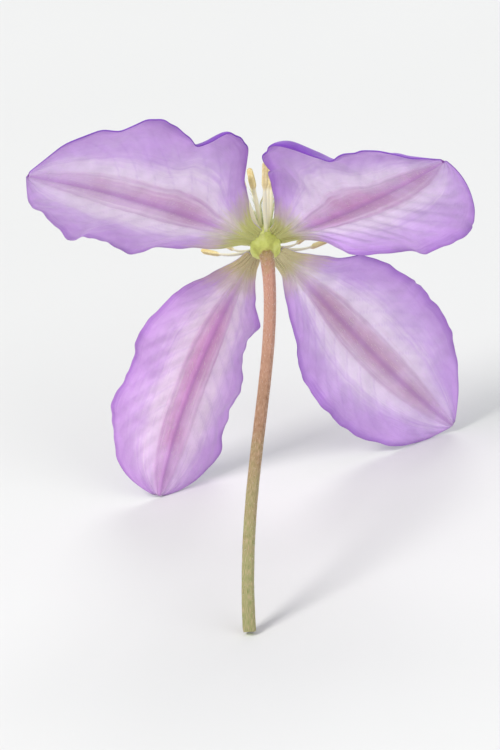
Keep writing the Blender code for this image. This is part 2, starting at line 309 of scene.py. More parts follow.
def tepal_mesh(name, spec):
    """A tepal as a closed sheet: ribbed behind, grooved in front and thin at the margin."""
    bm = bmesh.new()
    layers = {key: bm.verts.layers.float.new(key) for key in ("along", "across", "vein", "rib")}
    faces = {"front": [], "back": []}
    stations = midrib(spec, BLADE_ROWS)
    stations.pop()  # the tip itself has no width
    for row, station in enumerate(stations):
        lines = {"front": [], "back": []}
        for point, facing, along, across, (main, side) in blade_points(spec, row, station):
            thick = blade_thickness(along, across)
            relief = {
                "front": -RIB_GROOVE * main - VEIN_GROOVE * side,
                "back": RIB_HEIGHT * main + VEIN_HEIGHT * side,
            }
            for face, sign in (("front", 1), ("back", -1)):
                vert = bm.verts.new(point + facing * sign * (thick / 2 + relief[face]))
                vert[layers["along"]] = along
                vert[layers["across"]] = across
                vert[layers["vein"]] = max(side, 0.8 * main)
                vert[layers["rib"]] = main
                lines[face].append(vert)
        for face in faces:
            faces[face].append(lines[face])
    add_sheet(bm, faces)
    return mesh_from(bm, name)


def add_sheet(bm, faces):
    """Join the rows of the two faces of a blade into one closed body; the back takes material 1."""
    front, back = faces["front"], faces["back"]
    last = len(front[0]) - 1
    for row in range(len(front) - 1):
        for i in range(last):
            bm.faces.new((front[row][i], front[row + 1][i], front[row + 1][i + 1], front[row][i + 1]))
            behind = bm.faces.new((back[row][i], back[row][i + 1], back[row + 1][i + 1], back[row + 1][i]))
            behind.material_index = 1
        bm.faces.new((front[row][0], back[row][0], back[row + 1][0], front[row + 1][0]))
        bm.faces.new((front[row + 1][last], back[row + 1][last], back[row][last], front[row][last]))
    for i in range(last):
        bm.faces.new((front[0][i], front[0][i + 1], back[0][i + 1], back[0][i]))
        bm.faces.new((front[-1][i + 1], front[-1][i], back[-1][i], back[-1][i + 1]))


def mesh_from(bm, name):
    mesh = bpy.data.meshes.new(name)
    bm.normal_update()
    bm.to_mesh(mesh)
    bm.free()
    mesh.shade_smooth()
    return mesh


# ---------------------------------------------------------------- tubes: stalk, stamens, styles

def arched_path(base, turn, slopes, length, segments):
    """A path that sets off from base at the first slope and ends at the last."""
    outward = Vector((math.cos(turn), math.sin(turn), 0))
    points = [base]
    for i in range(segments):
        part = (i + 0.5) / segments
        slope = math.radians(between(slopes, min(1.0, part / ARCH_END)))
        heading = math.cos(slope) * outward + math.sin(slope) * Vector((0, 0, 1))
        points.append(points[-1] + heading * (length / segments))
    return points


def stalk_path(segments):
    """The stalk's centre line, from inside the receptacle to its cut end."""
    start = Vector((0, 0, RECEPTACLE_PROFILE[0][1] * MM - GAP))
    step = STALK_LENGTH / segments
    points = [start]
    for i in range(segments):
        part = (i + 0.5) / segments
        down = math.radians(STALK_BEND) * part ** STALK_BEND_RISE
        aside = math.radians(STALK_SIDE_BEND) * math.sin(math.pi * part)
        heading = Vector((
            math.sin(aside),
            math.cos(aside) * math.sin(down),
            -math.cos(aside) * math.cos(down),
        ))
        points.append(points[-1] + heading * step)
    return points


def join_rings(bm, rings):
    """Close the surface between each ring of vertices and the next."""
    for low, high in zip(rings, rings[1:]):
        for k in range(len(low)):
            n = (k + 1) % len(low)
            bm.faces.new((low[k], low[n], high[n], high[k]))


def tube(path, section, sides, side_way, cut_rings=()):
    """A closed tube: section(part, angle) gives each point's offsets (sideways, towards the face).

    With cut_rings, its far end is a cut face of material 1, with a ring at each part of the radius.
    """
    bm = bmesh.new()
    along_layer = bm.verts.layers.float.new("along")
    across_layer = bm.verts.layers.float.new("across")
    last = len(path) - 1
    side = side_way
    rings = []
    for i, centre in enumerate(path):
        tangent = (path[min(i + 1, last)] - path[max(i - 1, 0)]).normalized()
        side = (side - tangent * side.dot(tangent)).normalized()
        normal = tangent.cross(side)
        ring = []
        for k in range(sides):
            angle = 2 * math.pi * k / sides
            wide, high = section(i / last, angle)
            vert = bm.verts.new(centre + wide * side + high * normal)
            vert[along_layer] = i / last
            vert[across_layer] = math.cos(angle)
            ring.append(vert)
        rings.append(ring)
    join_rings(bm, rings)
    rim = rings[-1]
    if cut_rings:
        rim = [bm.verts.new(vert.co) for vert in rim]
        for vert in rim:
            vert[across_layer] = 1.0
    for part in cut_rings:
        inner = []
        for k, vert in enumerate(rings[-1]):
            uneven = 0.05 * MM * math.sin(5 * k + 9 * part) * (1 - part) * part
            inner.append(bm.verts.new(path[-1].lerp(vert.co, part) + tangent * uneven))
            inner[-1][across_layer] = part
        for k in range(sides):
            n = (k + 1) % sides
            bm.faces.new((rim[k], rim[n], inner[n], inner[k])).material_index = 1
        rim = inner
    for ring, centre, part in ((list(reversed(rings[0])), path[0], 0.0), (rim, path[-1], 1.0)):
        middle = bm.verts.new(centre)
        middle[along_layer] = part
        for k in range(sides):
            face = bm.faces.new((ring[k], ring[(k + 1) % sides], middle))
            face.material_index = 1 if cut_rings and part > 0 else 0
    return bm


def scatter(number, kind):
    """A repeatable spread between -1 and 1 that differs from one stamen to the next."""
    return math.sin(12.9898 * number + 78.233 * kind)


# Half widths in millimetres at parts of the length.
FILAMENT_OUTLINE = ((0, 0.30), (0.3, 0.36), (0.58, 0.30), (1, 0.30))
STYLE_OUTLINE = ((0, 0.22), (0.10, 0.30), (0.26, 0.24), (0.6, 0.15), (0.92, 0.12), (1, 0.07))
ANTHER_START = 0.62
ANTHER_ROUND_START = 0.93
SAC_HALF_WIDTH = 0.54
GROOVE_DEPTH = 0.42
STIGMA_START = 0.72
STIGMA_FLARE = 0.7 * MM


def stamen_section(number):
    """Cross-section of a stamen: a flat filament that opens into two pollen sacs with a groove between."""
    lean = 0.10 * MM * scatter(number, 6)

    def section(part, angle):
        filament = smooth_curve(FILAMENT_OUTLINE, part) * MM
        inside = step_up(ANTHER_START - 0.03, ANTHER_START + 0.05, part)
        end = max(0.0, (part - ANTHER_ROUND_START) / (1 - ANTHER_ROUND_START))
        round_end = math.sqrt(max(0.0, 1 - end * end)) * 0.92 + 0.08
        sac = (SAC_HALF_WIDTH + 0.03 * math.sin(9 * part + number)) * MM * round_end
        wide = filament + (sac - filament) * inside
        flat = 0.45 + 0.20 * inside
        groove = 1 - GROOVE_DEPTH * inside * bump(math.cos(angle), 0, 0.30)
        roundness = 1 + 0.18 * inside * abs(math.sin(2 * angle))
        high = wide * flat * groove * roundness * math.sin(angle)
        return wide * math.cos(angle) + lean * part * part, high

    return section


def stamen_path(number, level, k):
    height, radius, first, last, length = WHORLS[level]
    turn = 360 * (k + level / len(WHORLS)) / STAMENS_PER_WHORL + TURN_SCATTER * scatter(number, 1)
    turn = math.radians(turn)
    slopes = (first, last + SLOPE_SCATTER * scatter(number, 2))
    reach = length * (1 + LENGTH_SCATTER * scatter(number, 3))
    start = radius + GAP + ROOT_LIFT
    base = Vector((start * math.cos(turn), start * math.sin(turn), height))
    path = arched_path(base, turn, slopes, reach, STAMEN_STATIONS)
    inward = (path[1] - path[0]).normalized()
    path[0] = path[0] - inward * BASE_SINK
    across = Vector((-math.sin(turn), math.cos(turn), 0))
    for i, point in enumerate(path):
        part = i / STAMEN_STATIONS
        sway = 0.22 * MM * math.sin(math.pi * part) * scatter(number, 7)
        path[i] = point + across * sway
    return path, across


def style_section(part, angle):
    """Cross-section of a style: a swollen ovary, a thin style and a slightly wider stigma."""
    radius = smooth_curve(STYLE_OUTLINE, part) * MM * (1 + 0.10 * math.sin(3 * angle + 14 * part))
    return radius * math.cos(angle), radius * math.sin(angle)


def style_path(number, ring, k):
    count, radius, height, first, last = STYLE_RINGS[ring]
    turn = math.radians(360 * k / count + STYLE_TURN_SCATTER * scatter(number, 4))
    foot = height + GAP + ROOT_LIFT
    base = Vector((radius * math.cos(turn), radius * math.sin(turn), foot))
    reach = STYLE_LENGTH * (1 + LENGTH_SCATTER * scatter(number, 5))
    path = arched_path(base, turn, (first, last), reach, STYLE_STATIONS)
    path[0] = path[0] - (path[1] - path[0]).normalized() * BASE_SINK
    outward = Vector((math.cos(turn), math.sin(turn), 0))
    flare = STIGMA_FLARE * (0.4 + 0.6 * abs(scatter(number, 8)))
    for i, point in enumerate(path):
        path[i] = point + outward * flare * step_up(STIGMA_START, 1, i / STYLE_STATIONS)
    return path, Vector((-math.sin(turn), math.cos(turn), 0))


def stalk_section(part, angle):
    """Cross-section of the stalk: shallow ribs, slightly swollen at the neck and at the cut end."""
    radius = smooth_curve(STALK_OUTLINE, part)
    ribs = 0.045 * math.cos(6 * angle + 1.5 * part) + 0.012 * math.cos(17 * angle)
    uneven = 0.03 * noise.noise(Vector((22 * part, math.cos(angle), math.sin(angle))))
    bevel = 1 - 0.12 * step_up(0.992, 1, part)
    radius *= (1 + ribs + uneven) * bevel
    return radius * math.cos(angle), radius * math.sin(angle)


def receptacle_mesh(name):
    """The receptacle: the model's turned profile with four low shoulders under the claws."""
    bm = bmesh.new()
    along_layer = bm.verts.layers.float.new("along")
    knots = [(i / (len(RECEPTACLE_PROFILE) - 1), r) for i, (r, _) in enumerate(RECEPTACLE_PROFILE)]
    levels = [(i / (len(RECEPTACLE_PROFILE) - 1), h) for i, (_, h) in enumerate(RECEPTACLE_PROFILE)]
    rings = []
    for i in range(1, RECEPTACLE_ROWS):
        part = i / RECEPTACLE_ROWS
        radius, height = smooth_curve(knots, part) * MM, smooth_curve(levels, part) * MM
        ring = []
        for k in range(RECEPTACLE_SIDES):
            turn = 2 * math.pi * k / RECEPTACLE_SIDES
            shoulder = 0.07 * bump(height / MM, -0.1, 0.8) * math.cos(4 * (turn - math.radians(45)))
            smooth = Vector((radius * math.cos(turn), radius * math.sin(turn), height))
            swell = 1 + shoulder + 0.05 * noise.noise(smooth * 1800)
            vert = bm.verts.new((smooth.x * swell, smooth.y * swell, height))
            vert[along_layer] = part
            ring.append(vert)
        rings.append(ring)
    ends = [bm.verts.new((0, 0, RECEPTACLE_PROFILE[end][1] * MM)) for end in (0, -1)]
    ends[1][along_layer] = 1.0
    join_rings(bm, rings)
    for k in range(RECEPTACLE_SIDES):
        n = (k + 1) % RECEPTACLE_SIDES
        bm.faces.new((rings[0][n], rings[0][k], ends[0]))
        bm.faces.new((rings[-1][k], rings[-1][n], ends[1]))
    return mesh_from(bm, name)


# ---------------------------------------------------------------- fine down

def add_hair(bm, root, way, length, radius, droop):
    """One tapered, three-sided hair that is closed at its foot and ends in a point."""
    side = way.orthogonal().normalized()
    other = way.cross(side)
    middle = root + way * (length * 0.55)
    tip = root + way * length + droop * length
    rings = []
    for centre, thick in ((root, radius), (middle, radius * 0.7)):
        rings.append([
            bm.verts.new(centre + thick * (math.cos(a) * side + math.sin(a) * other))
            for a in (0, 2 * math.pi / 3, 4 * math.pi / 3)
        ])
    end = bm.verts.new(tip)
    for k in range(3):
        n = (k + 1) % 3
        bm.faces.new((rings[0][k], rings[0][n], rings[1][n], rings[1][k]))
        bm.faces.new((rings[1][k], rings[1][n], end))
    bm.faces.new(list(reversed(rings[0])))


def stalk_down():
    """Short spreading hairs on the stalk, thickest near the flower."""
    rng = random.Random(11)
    path = stalk_path(STALK_STATIONS)
    bm = bmesh.new()
    for _ in range(STALK_HAIRS):
        part = rng.random() ** 1.4 * 0.97
        i = min(int(part * STALK_STATIONS), STALK_STATIONS - 1)
        tangent = (path[i + 1] - path[i]).normalized()
        side = tangent.orthogonal().normalized()
        angle = rng.uniform(0, 2 * math.pi)
        out = math.cos(angle) * side + math.sin(angle) * tangent.cross(side)
        radius = smooth_curve(STALK_OUTLINE, part)
        root = path[i].lerp(path[i + 1], rng.random()) + out * radius * 0.97
        way = (out + tangent * rng.uniform(-0.7, 0.5)).normalized()
        add_hair(bm, root, way, rng.uniform(0.25, 0.60) * MM, 0.017 * MM, Vector((0, 0.08, 0)))
    return mesh_from(bm, "stalk_down")


def tepal_down(name, spec):
    """Silky hairs that lie along the ribs on the back of a tepal."""
    rng = random.Random(int(spec.turn))
    stations = midrib(spec, BLADE_ROWS)
    bm = bmesh.new()
    for _ in range(TEPAL_HAIRS):
        row = int(BLADE_ROWS * (0.05 + 0.88 * rng.random() ** 1.15))
        line = blade_points(spec, row, stations[row])
        offset = int(round(rng.gauss(0, 0.13) * BLADE_COLUMNS))
        offset = max(-BLADE_COLUMNS + 4, min(BLADE_COLUMNS - 4, offset))
        point, facing, along, across_blade, _ = line[BLADE_COLUMNS + offset]
        forward = (stations[row + 1][0] - stations[row][0]).normalized()
        aside = facing.cross(forward)
        root = point - facing * (blade_thickness(along, across_blade) / 2 + 0.02 * MM)
        way = (forward + aside * rng.uniform(-0.5, 0.5) - facing * rng.uniform(0.25, 0.7)).normalized()
        add_hair(bm, root, way, rng.uniform(0.4, 0.9) * MM, 0.015 * MM, facing * 0.12)
    return mesh_from(bm, name)


# ---------------------------------------------------------------- materials

def srgb(red, green, blue):
    """A linear colour from 8-bit screen values."""
    parts = []
    for value in (red, green, blue):
        value = value / 255
        parts.append(value / 12.92 if value <= 0.04045 else ((value + 0.055) / 1.055) ** 2.4)
    return (*parts, 1.0)


WHITISH = srgb(234, 216, 240)
LILAC = srgb(214, 184, 232)
MAUVE_LILAC = srgb(200, 160, 224)
VIOLET = srgb(172, 122, 206)
DEEP_VIOLET = srgb(142, 90, 182)
ROSE = srgb(190, 122, 172)
DEEP_ROSE = srgb(166, 88, 142)
SOFT_ROSE = srgb(172, 108, 160)
DUSTY_ROSE = srgb(188, 138, 166)
DEEP_DUSTY_ROSE = srgb(166, 112, 142)
PINK_ROSE = srgb(202, 134, 186)
DEEP_PINK_ROSE = srgb(178, 100, 158)
INNER_RIB = srgb(140, 56, 126)
INNER_PLUM = srgb(148, 74, 160)
INNER_VIOLET = srgb(156, 102, 200)
INNER_LILAC = srgb(180, 136, 220)
INNER_SHADE = srgb(132, 78, 186)
INNER_MARGIN = srgb(122, 66, 176)
INNER_VEIN = srgb(104, 48, 152)
INNER_FOOT = srgb(212, 198, 218)
CLAW_GREEN = srgb(194, 196, 112)
CLAW_BEIGE = srgb(200, 190, 138)
# The receptacle's greens: a painted-shade green, its own green and a painted-highlight green.
SHADED_GREEN = srgb(168, 170, 82)
RECEPTACLE_GREEN = srgb(208, 214, 112)
RECEPTACLE_HIGHLIGHT = srgb(226, 230, 150)
STALK_NECK = srgb(176, 150, 96)
STALK_PINK = srgb(196, 140, 120)
STALK_TAN = srgb(184, 134, 108)
STALK_BROWN = srgb(150, 108, 76)
STALK_GREEN = srgb(140, 150, 88)
STALK_FOOT = srgb(134, 146, 84)
FIBRE_PALE = srgb(214, 178, 152)
FIBRE_DARK = srgb(112, 78, 56)
PALE_PITH = srgb(236, 236, 206)
PITH = srgb(222, 226, 176)
STRAND_GREEN = srgb(176, 190, 112)
RIND_GREEN = srgb(150, 158, 84)
FILAMENT_FOOT = srgb(222, 222, 176)
CREAM = srgb(242, 238, 208)
BUFF = srgb(234, 218, 160)
DEEP_BUFF = srgb(226, 204, 140)
SAC_TIP = srgb(206, 178, 112)
POLLEN = srgb(250, 240, 196)
STYLE_FOOT = srgb(176, 190, 110)
PALE_GREEN = srgb(214, 220, 160)
STYLE_CREAM = srgb(232, 230, 196)
STIGMA = srgb(222, 204, 150)
DOWN = srgb(240, 236, 232)
DOWN_SHADE = srgb(222, 214, 210)
FLOOR_SHADE = (0.74, 0.74, 0.73, 1.0)
FLOOR_WHITE = (0.78, 0.78, 0.77, 1.0)
BACK_SHEEN = srgb(240, 230, 248)
FRONT_SHEEN = srgb(214, 190, 240)


class Shader:
    """A material being built from nodes: each method adds a node and returns its output."""

    def __init__(self, name, roughness=0.5, specular=0.4):
        self.made = bpy.data.materials.new(name)
        self.made.use_nodes = True
        self.tree = self.made.node_tree
        self.surface = self.tree.nodes["Principled BSDF"]
        self.set("Roughness", roughness)
        self.set("Specular IOR Level", specular)

    def set(self, socket, value):
        """Give a socket of the surface a constant or link a node's output to it."""
        if isinstance(value, bpy.types.NodeSocket):
            self.tree.links.new(value, self.surface.inputs[socket])
        else:
            self.surface.inputs[socket].default_value = value

    def feed(self, node, socket, value):
        if isinstance(value, bpy.types.NodeSocket):
            self.tree.links.new(value, node.inputs[socket])
        else:
            node.inputs[socket].default_value = value

    def attribute(self, name):
        node = self.tree.nodes.new("ShaderNodeAttribute")
        node.attribute_name = name
        return node.outputs["Fac"]

    def maths(self, operation, first, second=0.0, clamp=False):
        node = self.tree.nodes.new("ShaderNodeMath")
        node.operation = operation
        node.use_clamp = clamp
        self.feed(node, 0, first)
        self.feed(node, 1, second)
        return node.outputs[0]

    def stirred(self, value, noise, reach):
        """A value from 0 to 1 moved by a noise, by up to half of reach either way."""
        moved = self.maths("MULTIPLY", self.maths("SUBTRACT", noise, 0.5), reach)
        return self.maths("ADD", value, moved, clamp=True)

    def steps(self, value, *stops):
        """A smooth curve of greys through stops of (place, height)."""
        node = self.tree.nodes.new("ShaderNodeValToRGB")
        node.color_ramp.interpolation = "EASE"
        elements = node.color_ramp.elements
        while len(elements) < len(stops):
            elements.new(0.5)
        for element, (place, height) in zip(elements, stops):
            element.position = place
            element.color = (height, height, height, 1)
        self.feed(node, "Fac", value)
        return node.outputs["Color"]

    def colours(self, value, *stops):
        """A colour ramp through stops of (place, colour)."""
        node = self.tree.nodes.new("ShaderNodeValToRGB")
        elements = node.color_ramp.elements
        while len(elements) < len(stops):
            elements.new(0.5)
        for element, (place, colour) in zip(elements, stops):
            element.position = place
            element.color = colour
        self.feed(node, "Fac", value)
        return node.outputs["Color"]

    def mix(self, factor, low, high, blend="MIX"):
        node = self.tree.nodes.new("ShaderNodeMix")
        node.data_type = "RGBA"
        node.blend_type = blend
        self.feed(node, 0, factor)
        self.feed(node, 6, low)
        self.feed(node, 7, high)
        return node.outputs[2]

    def place(self, x, y, z):
        node = self.tree.nodes.new("ShaderNodeCombineXYZ")
        for socket, value in (("X", x), ("Y", y), ("Z", z)):
            self.feed(node, socket, value)
        return node.outputs["Vector"]

    def here(self):
        """The point on the surface in the object's own coordinates, in metres."""
        return self.tree.nodes.new("ShaderNodeTexCoord").outputs["Object"]

    def noise(self, at, scale, detail=4.0, roughness=0.55):
        node = self.tree.nodes.new("ShaderNodeTexNoise")
        self.feed(node, "Vector", at)
        node.inputs["Scale"].default_value = scale
        node.inputs["Detail"].default_value = detail
        node.inputs["Roughness"].default_value = roughness
        return node.outputs["Fac"]

    def bump(self, height, distance, strength=1.0):
        node = self.tree.nodes.new("ShaderNodeBump")
        node.inputs["Distance"].default_value = distance
        node.inputs["Strength"].default_value = strength
        self.feed(node, "Height", height)
        self.set("Normal", node.outputs["Normal"])

    def soften(self, weight, radius, scale):
        """Light that goes a little way into the tissue."""
        self.set("Subsurface Weight", weight)
        self.set("Subsurface Radius", radius)
        self.set("Subsurface Scale", scale)

    def sheen(self, weight, roughness, tint):
        self.set("Sheen Weight", weight)
        self.set("Sheen Roughness", roughness)
        self.set("Sheen Tint", tint)


def tepal_fields(made, seed):
    """What both faces of a tepal are painted by: along, distance from the midrib, streaks and mottling."""
    along = made.attribute("along")
    across = made.attribute("across")
    edge = made.maths("ABSOLUTE", across)
    lengthwise = made.place(made.maths("MULTIPLY", across, 11.0), made.maths("MULTIPLY", along, 1.6), seed)
    streaks = made.noise(lengthwise, 2.6, detail=6.0, roughness=0.62)
    mottle = made.noise(made.here(), 260.0, detail=5.0)
    return along, edge, made.stirred(edge, streaks, 0.34), streaks, mottle


def tepal_back(name, seed, band, deep_band, band_strength, claw, tint_and_painted_shade):
    """The face that is seen: lilac, whitish beside a rosy band on the ribs, violet towards the margins."""
    made = Shader(name, specular=0.30)
    along, edge, warped, streaks, mottle = tepal_fields(made, seed)
    patches = made.noise(made.here(), 95.0, detail=3.0)
    colour = made.colours(
        warped, (0.0, LILAC), (0.20, WHITISH), (0.38, WHITISH), (0.58, LILAC), (0.86, MAUVE_LILAC),
        (1.0, VIOLET),
    )
    patchy = made.steps(patches, (0.42, 0.0), (0.66, 0.75))
    outer = made.steps(warped, (0.20, 0.0), (0.66, 1.0))
    colour = made.mix(made.maths("MULTIPLY", patchy, outer), colour, MAUVE_LILAC)
    tip = made.maths("MULTIPLY", made.steps(along, (0.66, 0.0), (1.0, 1.04)), streaks)
    colour = made.mix(tip, colour, MAUVE_LILAC)
    breadth = made.steps(warped, (0.0, 1.0), (0.09, 0.90), (0.30, 0.0))
    length = made.steps(along, (0.07, 0.0), (0.30, 1.0), (0.72, 0.85), (1.0, 0.35))
    strength = made.maths("MULTIPLY", breadth, made.maths("MULTIPLY", length, band_strength))
    strength = made.maths("MULTIPLY", strength, made.steps(patches, (0.34, 0.55), (0.60, 1.0)))
    strength = made.maths("MULTIPLY", strength, made.maths("ADD", streaks, 0.30), clamp=True)
    colour = made.mix(strength, colour, band)
    ribbed = made.maths("MULTIPLY", made.attribute("rib"), made.maths("MULTIPLY", length, 0.42))
    colour = made.mix(ribbed, colour, deep_band)
    colour = made.mix(made.maths("MULTIPLY", made.attribute("vein"), 0.34), colour, VIOLET)
    margin = made.steps(edge, (0.88, 0.0), (1.0, 0.65))
    margin = made.maths("MULTIPLY", margin, made.steps(patches, (0.40, 0.1), (0.62, 1.0)))
    colour = made.mix(margin, colour, DEEP_VIOLET)
    foot = made.stirred(along, streaks, 0.14)
    colour = made.mix(made.steps(foot, (0.05, 0.95), (0.12, 0.40), (0.19, 0.0)), colour, claw)
    shade = made.steps(mottle, (0.30, 0.88), (0.70, 1.06))
    colour = made.mix(0.75, colour, shade, blend="MULTIPLY")
    # The tone over the whole back is partly the tepal's own tint and partly painted shade.
    made.set("Base Color", made.mix(1.0, colour, tint_and_painted_shade, blend="MULTIPLY"))
    made.set("Roughness", made.steps(streaks, (0.30, 0.64), (0.70, 0.46)))
    grain = made.noise(made.here(), 1900.0, detail=3.0)
    height = made.maths("ADD", made.maths("MULTIPLY", grain, 0.35), made.maths("MULTIPLY", streaks, 0.9))
    made.bump(made.maths("ADD", height, made.maths("MULTIPLY", mottle, 0.6)), 0.22 * MM, 0.55)
    made.sheen(0.25, 0.45, BACK_SHEEN)
    made.soften(0.14, (0.9, 0.5, 0.9), 0.9 * MM)
    return made.made


def tepal_front(name, seed):
    """The inner face: violet, richest beside the redder ribs, with a pale base and darker veins."""
    made = Shader(name, specular=0.35)
    along, edge, warped, streaks, mottle = tepal_fields(made, seed + 3.7)
    colour = made.colours(
        warped, (0.0, INNER_PLUM), (0.18, INNER_VIOLET), (0.42, INNER_LILAC), (0.78, INNER_VIOLET),
        (1.0, INNER_MARGIN),
    )
    patches = made.noise(made.here(), 120.0, detail=4.0)
    colour = made.mix(made.steps(patches, (0.42, 0.0), (0.66, 0.50)), colour, INNER_SHADE)
    colour = made.mix(made.maths("MULTIPLY", made.attribute("rib"), 0.70), colour, INNER_RIB)
    colour = made.mix(made.maths("MULTIPLY", made.attribute("vein"), 0.52), colour, INNER_VEIN)
    colour = made.mix(made.steps(along, (0.05, 0.85), (0.26, 0.0)), colour, INNER_FOOT)
    shade = made.steps(mottle, (0.30, 0.86), (0.70, 1.08))
    colour = made.mix(0.8, colour, shade, blend="MULTIPLY")
    made.set("Base Color", colour)
    made.set("Roughness", made.steps(streaks, (0.30, 0.58), (0.70, 0.40)))
    grain = made.noise(made.here(), 2200.0, detail=3.0)
    height = made.maths("ADD", made.maths("MULTIPLY", grain, 0.4), made.maths("MULTIPLY", streaks, 0.9))
    made.bump(height, 0.20 * MM, 0.6)
    made.sheen(0.22, 0.35, FRONT_SHEEN)
    made.soften(0.10, (0.8, 0.4, 1.0), 0.8 * MM)
    return made.made


def receptacle_skin():
    made = Shader("receptacle_skin", roughness=0.55)
    blotch = made.noise(made.here(), 420.0, detail=6.0)
    # Random blotches that move between a painted-shade green, the receptacle's own green and a
    # painted-highlight green.
    colour = made.colours(blotch, (0.30, SHADED_GREEN), (0.50, RECEPTACLE_GREEN), (0.70, RECEPTACLE_HIGHLIGHT))
    # Darker brown towards the foot, where the stalk joins: partly the stalk's own brown, partly painted
    # shade on the underside.
    colour = made.mix(made.steps(made.attribute("along"), (0.0, 0.6), (0.22, 0.0)), colour, STALK_BROWN)
    made.set("Base Color", colour)
    made.set("Roughness", made.steps(blotch, (0.3, 0.66), (0.7, 0.48)))
    made.bump(made.noise(made.here(), 2400.0, detail=4.0), 0.12 * MM, 0.6)
    made.soften(0.10, (0.5, 0.7, 0.2), 0.8 * MM)
    return made.made


def stalk_skin():
    """Pinkish brown near the flower, greener further down, with fibres along it."""
    made = Shader("stalk_skin", roughness=0.55)
    along = made.attribute("along")
    around = made.attribute("across")
    lengthwise = made.place(made.maths("MULTIPLY", around, 3.0), made.maths("MULTIPLY", along, 14.0), 2.0)
    fibres = made.noise(lengthwise, 5.0, detail=6.0)
    patches = made.noise(made.here(), 190.0, detail=5.0)
    colour = made.colours(
        made.stirred(along, patches, 0.4), (0.0, STALK_NECK), (0.05, STALK_PINK), (0.28, STALK_TAN),
        (0.50, STALK_BROWN), (0.78, STALK_GREEN), (1.0, STALK_FOOT),
    )
    colour = made.mix(made.steps(fibres, (0.36, 0.0), (0.66, 0.6)), colour, FIBRE_PALE)
    colour = made.mix(made.steps(fibres, (0.24, 0.55), (0.44, 0.0)), colour, FIBRE_DARK)
    made.set("Base Color", colour)
    made.set("Roughness", made.steps(fibres, (0.3, 0.68), (0.7, 0.46)))
    grain = made.noise(made.here(), 2600.0, detail=3.0)
    made.bump(made.maths("ADD", fibres, made.maths("MULTIPLY", grain, 0.4)), 0.16 * MM, 0.7)
    made.soften(0.06, (0.8, 0.5, 0.3), 0.6 * MM)
    return made.made


def stalk_cut():
    """The cut end: a thin skin, a ring of strands and pale pith."""
    made = Shader("stalk_cut", roughness=0.7)
    radius = made.maths("ABSOLUTE", made.attribute("across"))
    cells = made.noise(made.here(), 5200.0, detail=3.0)
    colour = made.colours(
        made.stirred(radius, cells, 0.16), (0.0, PALE_PITH), (0.45, PITH), (0.62, STRAND_GREEN),
        (0.84, RIND_GREEN), (1.0, STALK_BROWN),
    )
    made.set("Base Color", colour)
    made.bump(cells, 0.10 * MM, 0.8)
    return made.made


def stamen_skin():
    """Cream filaments, greener at the foot, and buff pollen sacs."""
    made = Shader("stamen_skin", roughness=0.5)
    along = made.attribute("along")
    grain = made.noise(made.here(), 2600.0, detail=5.0)
    colour = made.colours(
        along, (0.0, FILAMENT_FOOT), (0.20, CREAM), (0.56, CREAM), (0.62, BUFF), (0.94, DEEP_BUFF),
        (1.0, SAC_TIP),
    )
    colour = made.mix(made.steps(grain, (0.44, 0.0), (0.70, 0.55)), colour, POLLEN)
    made.set("Base Color", colour)
    made.set("Roughness", made.steps(along, (0.55, 0.48), (0.65, 0.85)))
    made.bump(grain, 0.12 * MM, 0.7)
    made.soften(0.10, (0.9, 0.8, 0.4), 0.5 * MM)
    return made.made


def style_skin():
    made = Shader("style_skin", roughness=0.5)
    along = made.attribute("along")
    grain = made.noise(made.here(), 2400.0, detail=4.0)
    colour = made.colours(along, (0.0, STYLE_FOOT), (0.25, PALE_GREEN), (0.70, STYLE_CREAM), (1.0, STIGMA))
    colour = made.mix(made.steps(grain, (0.45, 0.0), (0.75, 0.5)), colour, CREAM)
    made.set("Base Color", colour)
    made.bump(grain, 0.08 * MM, 0.6)
    made.soften(0.10, (0.7, 0.8, 0.4), 0.5 * MM)
    return made.made


def down_fibre():
    made = Shader("down_fibre", roughness=0.42)
    made.set("Base Color", made.colours(made.noise(made.here(), 900.0), (0.35, DOWN_SHADE), (0.65, DOWN)))
    made.sheen(0.4, 0.3, (1.0, 1.0, 1.0, 1.0))
    return made.made


def floor_finish():
    made = Shader("floor_finish", roughness=0.8, specular=0.2)
    cloud = made.noise(made.here(), 3.0, detail=3.0)
    made.set("Base Color", made.colours(cloud, (0.35, FLOOR_SHADE), (0.65, FLOOR_WHITE)))
    return made.made


# ---------------------------------------------------------------- putting the flower together

def flower_pose():
    """Where the model's own axes lie: its rotation is known, and the receptacle tells its place."""
    turned = Euler([math.radians(angle) for angle in LAID_DOWN], "XYZ").to_matrix().to_4x4()
    low, high = Vector((9, 9, 9)), Vector((-9, -9, -9))
    for radius, height in RECEPTACLE_PROFILE:
        for k in range(24):
            angle = 2 * math.pi * k / 24
            point = turned @ (Vector((radius * math.cos(angle), radius * math.sin(angle), height)) * MM)
            low = Vector(map(min, low, point))
            high = Vector(map(max, high, point))
    node_low, node_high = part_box("receptacle")
    turned.translation = (node_low + node_high) / 2 - (low + high) / 2
    return turned


def add_piece(name, mesh, finishes, pose, nodes):
    """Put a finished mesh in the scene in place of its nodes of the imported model."""
    for finish in finishes:
        mesh.materials.append(finish)
    mesh.transform(pose)
    piece = bpy.data.objects.new(name, mesh)
    bpy.context.scene.collection.objects.link(piece)
    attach(piece, "root")
    if nodes:
        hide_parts(*nodes)
    return piece


def stalk_mesh():
    """The stalk, which starts inside the receptacle and ends in a cut face with rings of its own."""
    path = stalk_path(STALK_STATIONS)
    path[0] = path[0] + Vector((0, 0, GAP + BASE_SINK))
    bm = tube(path, stalk_section, STALK_SIDES, Vector((1, 0, 0)), cut_rings=CUT_RINGS)
    return mesh_from(bm, "stalk_fine")


